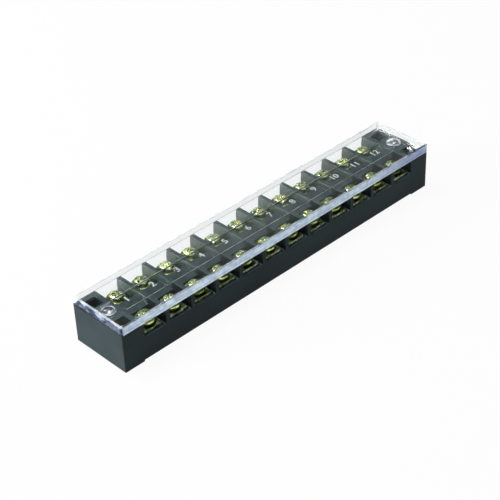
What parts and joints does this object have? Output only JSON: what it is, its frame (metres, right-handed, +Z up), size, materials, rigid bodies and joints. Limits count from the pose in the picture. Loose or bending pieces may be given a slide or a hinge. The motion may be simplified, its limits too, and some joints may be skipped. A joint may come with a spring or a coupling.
{
  "type": "barrier terminal strip",
  "caption": "Long barrier terminal strip: black moulded base with open poles, two rows of clamp screws over contact straps, and a clear lift-off cover.",
  "frame": {"origin": "middle of the underside, on the mounting surface", "axes": "+X along the row of poles, +Y from the front to the back, +Z up from the mounting surface"},
  "size_m": [0.162, 0.027, 0.0199],
  "materials": {
    "base_plastic": "semi-gloss moulded phenolic, black with a cool grey sheen",
    "cover_plastic": "clear moulded polycarbonate with a frosted bluish rim",
    "screw_zinc": "yellow-green passivated zinc plating, bright",
    "washer_zinc": "yellow-green passivated zinc plating, bright",
    "strap_metal": "plated brass sheet, satin, olive tint"
  },
  "bodies": {
    "base": {"base_housing": "base_plastic", "contact_straps_01_02": "strap_metal", "contact_straps_03_04": "strap_metal", "contact_straps_05_06": "strap_metal", "contact_straps_07_08": "strap_metal", "contact_straps_09_10": "strap_metal", "contact_straps_11_12": "strap_metal"},
    "cover": {"clear_cover": "cover_plastic"},
    "washer_front_01": {"clamp_washer_front_01": "washer_zinc"},
    "screw_front_01": {"terminal_screw_front_01": "screw_zinc"},
    "washer_front_02": {"clamp_washer_front_02": "washer_zinc"},
    "screw_front_02": {"terminal_screw_front_02": "screw_zinc"},
    "washer_front_03": {"clamp_washer_front_03": "washer_zinc"},
    "screw_front_03": {"terminal_screw_front_03": "screw_zinc"},
    "washer_front_04": {"clamp_washer_front_04": "washer_zinc"},
    "screw_front_04": {"terminal_screw_front_04": "screw_zinc"},
    "washer_front_05": {"clamp_washer_front_05": "washer_zinc"},
    "screw_front_05": {"terminal_screw_front_05": "screw_zinc"},
    "washer_front_06": {"clamp_washer_front_06": "washer_zinc"},
    "screw_front_06": {"terminal_screw_front_06": "screw_zinc"},
    "washer_front_07": {"clamp_washer_front_07": "washer_zinc"},
    "screw_front_07": {"terminal_screw_front_07": "screw_zinc"},
    "washer_front_08": {"clamp_washer_front_08": "washer_zinc"},
    "screw_front_08": {"terminal_screw_front_08": "screw_zinc"},
    "washer_front_09": {"clamp_washer_front_09": "washer_zinc"},
    "screw_front_09": {"terminal_screw_front_09": "screw_zinc"},
    "washer_front_10": {"clamp_washer_front_10": "washer_zinc"},
    "screw_front_10": {"terminal_screw_front_10": "screw_zinc"},
    "washer_front_11": {"clamp_washer_front_11": "washer_zinc"},
    "screw_front_11": {"terminal_screw_front_11": "screw_zinc"},
    "washer_front_12": {"clamp_washer_front_12": "washer_zinc"},
    "screw_front_12": {"terminal_screw_front_12": "screw_zinc"},
    "washer_back_01": {"clamp_washer_back_01": "washer_zinc"},
    "screw_back_01": {"terminal_screw_back_01": "screw_zinc"},
    "washer_back_02": {"clamp_washer_back_02": "washer_zinc"},
    "screw_back_02": {"terminal_screw_back_02": "screw_zinc"},
    "washer_back_03": {"clamp_washer_back_03": "washer_zinc"},
    "screw_back_03": {"terminal_screw_back_03": "screw_zinc"},
    "washer_back_04": {"clamp_washer_back_04": "washer_zinc"},
    "screw_back_04": {"terminal_screw_back_04": "screw_zinc"},
    "washer_back_05": {"clamp_washer_back_05": "washer_zinc"},
    "screw_back_05": {"terminal_screw_back_05": "screw_zinc"},
    "washer_back_06": {"clamp_washer_back_06": "washer_zinc"},
    "screw_back_06": {"terminal_screw_back_06": "screw_zinc"},
    "washer_back_07": {"clamp_washer_back_07": "washer_zinc"},
    "screw_back_07": {"terminal_screw_back_07": "screw_zinc"},
    "washer_back_08": {"clamp_washer_back_08": "washer_zinc"},
    "screw_back_08": {"terminal_screw_back_08": "screw_zinc"},
    "washer_back_09": {"clamp_washer_back_09": "washer_zinc"},
    "screw_back_09": {"terminal_screw_back_09": "screw_zinc"},
    "washer_back_10": {"clamp_washer_back_10": "washer_zinc"},
    "screw_back_10": {"terminal_screw_back_10": "screw_zinc"},
    "washer_back_11": {"clamp_washer_back_11": "washer_zinc"},
    "screw_back_11": {"terminal_screw_back_11": "screw_zinc"},
    "washer_back_12": {"clamp_washer_back_12": "washer_zinc"},
    "screw_back_12": {"terminal_screw_back_12": "screw_zinc"}
  },
  "joints": [
    {"name": "cover_lift", "type": "slide", "parent": "base", "child": "cover", "axis": [0, 0, 1], "range_m": [0, 0.03]},
    {"name": "washer_lift_front_01", "type": "slide", "parent": "base", "child": "washer_front_01", "axis": [0, 0, 1], "range_m": [-0.0009, 0.0012]},
    {"name": "screw_turn_front_01", "type": "hinge", "parent": "washer_front_01", "child": "screw_front_01", "pos_m": [-0.066, -0.0079, 0.0132], "axis": [0, 0, 1], "range_deg": [-541, 721]},
    {"name": "washer_lift_front_02", "type": "slide", "parent": "base", "child": "washer_front_02", "axis": [0, 0, 1], "range_m": [-0.0009, 0.0012]},
    {"name": "screw_turn_front_02", "type": "hinge", "parent": "washer_front_02", "child": "screw_front_02", "pos_m": [-0.054, -0.0079, 0.0132], "axis": [0, 0, 1], "range_deg": [-541, 721]},
    {"name": "washer_lift_front_03", "type": "slide", "parent": "base", "child": "washer_front_03", "axis": [0, 0, 1], "range_m": [-0.0009, 0.0012]},
    {"name": "screw_turn_front_03", "type": "hinge", "parent": "washer_front_03", "child": "screw_front_03", "pos_m": [-0.042, -0.0079, 0.0132], "axis": [0, 0, 1], "range_deg": [-541, 721]},
    {"name": "washer_lift_front_04", "type": "slide", "parent": "base", "child": "washer_front_04", "axis": [0, 0, 1], "range_m": [-0.0009, 0.0012]},
    {"name": "screw_turn_front_04", "type": "hinge", "parent": "washer_front_04", "child": "screw_front_04", "pos_m": [-0.03, -0.0079, 0.0132], "axis": [0, 0, 1], "range_deg": [-541, 721]},
    {"name": "washer_lift_front_05", "type": "slide", "parent": "base", "child": "washer_front_05", "axis": [0, 0, 1], "range_m": [-0.0009, 0.0012]},
    {"name": "screw_turn_front_05", "type": "hinge", "parent": "washer_front_05", "child": "screw_front_05", "pos_m": [-0.018, -0.0079, 0.0132], "axis": [0, 0, 1], "range_deg": [-541, 721]},
    {"name": "washer_lift_front_06", "type": "slide", "parent": "base", "child": "washer_front_06", "axis": [0, 0, 1], "range_m": [-0.0009, 0.0012]},
    {"name": "screw_turn_front_06", "type": "hinge", "parent": "washer_front_06", "child": "screw_front_06", "pos_m": [-0.006, -0.0079, 0.0132], "axis": [0, 0, 1], "range_deg": [-541, 721]},
    {"name": "washer_lift_front_07", "type": "slide", "parent": "base", "child": "washer_front_07", "axis": [0, 0, 1], "range_m": [-0.0009, 0.0012]},
    {"name": "screw_turn_front_07", "type": "hinge", "parent": "washer_front_07", "child": "screw_front_07", "pos_m": [0.006, -0.0079, 0.0132], "axis": [0, 0, 1], "range_deg": [-541, 721]},
    {"name": "washer_lift_front_08", "type": "slide", "parent": "base", "child": "washer_front_08", "axis": [0, 0, 1], "range_m": [-0.0009, 0.0012]},
    {"name": "screw_turn_front_08", "type": "hinge", "parent": "washer_front_08", "child": "screw_front_08", "pos_m": [0.018, -0.0079, 0.0132], "axis": [0, 0, 1], "range_deg": [-541, 721]},
    {"name": "washer_lift_front_09", "type": "slide", "parent": "base", "child": "washer_front_09", "axis": [0, 0, 1], "range_m": [-0.0009, 0.0012]},
    {"name": "screw_turn_front_09", "type": "hinge", "parent": "washer_front_09", "child": "screw_front_09", "pos_m": [0.03, -0.0079, 0.0132], "axis": [0, 0, 1], "range_deg": [-541, 721]},
    {"name": "washer_lift_front_10", "type": "slide", "parent": "base", "child": "washer_front_10", "axis": [0, 0, 1], "range_m": [-0.0009, 0.0012]},
    {"name": "screw_turn_front_10", "type": "hinge", "parent": "washer_front_10", "child": "screw_front_10", "pos_m": [0.042, -0.0079, 0.0132], "axis": [0, 0, 1], "range_deg": [-541, 721]},
    {"name": "washer_lift_front_11", "type": "slide", "parent": "base", "child": "washer_front_11", "axis": [0, 0, 1], "range_m": [-0.0009, 0.0012]},
    {"name": "screw_turn_front_11", "type": "hinge", "parent": "washer_front_11", "child": "screw_front_11", "pos_m": [0.054, -0.0079, 0.0132], "axis": [0, 0, 1], "range_deg": [-541, 721]},
    {"name": "washer_lift_front_12", "type": "slide", "parent": "base", "child": "washer_front_12", "axis": [0, 0, 1], "range_m": [-0.0009, 0.0012]},
    {"name": "screw_turn_front_12", "type": "hinge", "parent": "washer_front_12", "child": "screw_front_12", "pos_m": [0.066, -0.0079, 0.0132], "axis": [0, 0, 1], "range_deg": [-541, 721]},
    {"name": "washer_lift_back_01", "type": "slide", "parent": "base", "child": "washer_back_01", "axis": [0, 0, 1], "range_m": [-0.0009, 0.0012]},
    {"name": "screw_turn_back_01", "type": "hinge", "parent": "washer_back_01", "child": "screw_back_01", "pos_m": [-0.066, 0.0079, 0.0132], "axis": [0, 0, 1], "range_deg": [-541, 721]},
    {"name": "washer_lift_back_02", "type": "slide", "parent": "base", "child": "washer_back_02", "axis": [0, 0, 1], "range_m": [-0.0009, 0.0012]},
    {"name": "screw_turn_back_02", "type": "hinge", "parent": "washer_back_02", "child": "screw_back_02", "pos_m": [-0.054, 0.0079, 0.0132], "axis": [0, 0, 1], "range_deg": [-541, 721]},
    {"name": "washer_lift_back_03", "type": "slide", "parent": "base", "child": "washer_back_03", "axis": [0, 0, 1], "range_m": [-0.0009, 0.0012]},
    {"name": "screw_turn_back_03", "type": "hinge", "parent": "washer_back_03", "child": "screw_back_03", "pos_m": [-0.042, 0.0079, 0.0132], "axis": [0, 0, 1], "range_deg": [-541, 721]},
    {"name": "washer_lift_back_04", "type": "slide", "parent": "base", "child": "washer_back_04", "axis": [0, 0, 1], "range_m": [-0.0009, 0.0012]},
    {"name": "screw_turn_back_04", "type": "hinge", "parent": "washer_back_04", "child": "screw_back_04", "pos_m": [-0.03, 0.0079, 0.0132], "axis": [0, 0, 1], "range_deg": [-541, 721]},
    {"name": "washer_lift_back_05", "type": "slide", "parent": "base", "child": "washer_back_05", "axis": [0, 0, 1], "range_m": [-0.0009, 0.0012]},
    {"name": "screw_turn_back_05", "type": "hinge", "parent": "washer_back_05", "child": "screw_back_05", "pos_m": [-0.018, 0.0079, 0.0132], "axis": [0, 0, 1], "range_deg": [-541, 721]},
    {"name": "washer_lift_back_06", "type": "slide", "parent": "base", "child": "washer_back_06", "axis": [0, 0, 1], "range_m": [-0.0009, 0.0012]},
    {"name": "screw_turn_back_06", "type": "hinge", "parent": "washer_back_06", "child": "screw_back_06", "pos_m": [-0.006, 0.0079, 0.0132], "axis": [0, 0, 1], "range_deg": [-541, 721]},
    {"name": "washer_lift_back_07", "type": "slide", "parent": "base", "child": "washer_back_07", "axis": [0, 0, 1], "range_m": [-0.0009, 0.0012]},
    {"name": "screw_turn_back_07", "type": "hinge", "parent": "washer_back_07", "child": "screw_back_07", "pos_m": [0.006, 0.0079, 0.0132], "axis": [0, 0, 1], "range_deg": [-541, 721]},
    {"name": "washer_lift_back_08", "type": "slide", "parent": "base", "child": "washer_back_08", "axis": [0, 0, 1], "range_m": [-0.0009, 0.0012]},
    {"name": "screw_turn_back_08", "type": "hinge", "parent": "washer_back_08", "child": "screw_back_08", "pos_m": [0.018, 0.0079, 0.0132], "axis": [0, 0, 1], "range_deg": [-541, 721]},
    {"name": "washer_lift_back_09", "type": "slide", "parent": "base", "child": "washer_back_09", "axis": [0, 0, 1], "range_m": [-0.0009, 0.0012]},
    {"name": "screw_turn_back_09", "type": "hinge", "parent": "washer_back_09", "child": "screw_back_09", "pos_m": [0.03, 0.0079, 0.0132], "axis": [0, 0, 1], "range_deg": [-541, 721]},
    {"name": "washer_lift_back_10", "type": "slide", "parent": "base", "child": "washer_back_10", "axis": [0, 0, 1], "range_m": [-0.0009, 0.0012]},
    {"name": "screw_turn_back_10", "type": "hinge", "parent": "washer_back_10", "child": "screw_back_10", "pos_m": [0.042, 0.0079, 0.0132], "axis": [0, 0, 1], "range_deg": [-541, 721]},
    {"name": "washer_lift_back_11", "type": "slide", "parent": "base", "child": "washer_back_11", "axis": [0, 0, 1], "range_m": [-0.0009, 0.0012]},
    {"name": "screw_turn_back_11", "type": "hinge", "parent": "washer_back_11", "child": "screw_back_11", "pos_m": [0.054, 0.0079, 0.0132], "axis": [0, 0, 1], "range_deg": [-541, 721]},
    {"name": "washer_lift_back_12", "type": "slide", "parent": "base", "child": "washer_back_12", "axis": [0, 0, 1], "range_m": [-0.0009, 0.0012]},
    {"name": "screw_turn_back_12", "type": "hinge", "parent": "washer_back_12", "child": "screw_back_12", "pos_m": [0.066, 0.0079, 0.0132], "axis": [0, 0, 1], "range_deg": [-541, 721]}
  ],
  "couplings": [
    {"joint": "screw_turn_front_01", "follows": "washer_lift_front_01", "rad_per_m": 10472},
    {"joint": "screw_turn_front_02", "follows": "washer_lift_front_02", "rad_per_m": 10472},
    {"joint": "screw_turn_front_03", "follows": "washer_lift_front_03", "rad_per_m": 10472},
    {"joint": "screw_turn_front_04", "follows": "washer_lift_front_04", "rad_per_m": 10472},
    {"joint": "screw_turn_front_05", "follows": "washer_lift_front_05", "rad_per_m": 10472},
    {"joint": "screw_turn_front_06", "follows": "washer_lift_front_06", "rad_per_m": 10472},
    {"joint": "screw_turn_front_07", "follows": "washer_lift_front_07", "rad_per_m": 10472},
    {"joint": "screw_turn_front_08", "follows": "washer_lift_front_08", "rad_per_m": 10472},
    {"joint": "screw_turn_front_09", "follows": "washer_lift_front_09", "rad_per_m": 10472},
    {"joint": "screw_turn_front_10", "follows": "washer_lift_front_10", "rad_per_m": 10472},
    {"joint": "screw_turn_front_11", "follows": "washer_lift_front_11", "rad_per_m": 10472},
    {"joint": "screw_turn_front_12", "follows": "washer_lift_front_12", "rad_per_m": 10472},
    {"joint": "screw_turn_back_01", "follows": "washer_lift_back_01", "rad_per_m": 10472},
    {"joint": "screw_turn_back_02", "follows": "washer_lift_back_02", "rad_per_m": 10472},
    {"joint": "screw_turn_back_03", "follows": "washer_lift_back_03", "rad_per_m": 10472},
    {"joint": "screw_turn_back_04", "follows": "washer_lift_back_04", "rad_per_m": 10472},
    {"joint": "screw_turn_back_05", "follows": "washer_lift_back_05", "rad_per_m": 10472},
    {"joint": "screw_turn_back_06", "follows": "washer_lift_back_06", "rad_per_m": 10472},
    {"joint": "screw_turn_back_07", "follows": "washer_lift_back_07", "rad_per_m": 10472},
    {"joint": "screw_turn_back_08", "follows": "washer_lift_back_08", "rad_per_m": 10472},
    {"joint": "screw_turn_back_09", "follows": "washer_lift_back_09", "rad_per_m": 10472},
    {"joint": "screw_turn_back_10", "follows": "washer_lift_back_10", "rad_per_m": 10472},
    {"joint": "screw_turn_back_11", "follows": "washer_lift_back_11", "rad_per_m": 10472},
    {"joint": "screw_turn_back_12", "follows": "washer_lift_back_12", "rad_per_m": 10472}
  ]
}
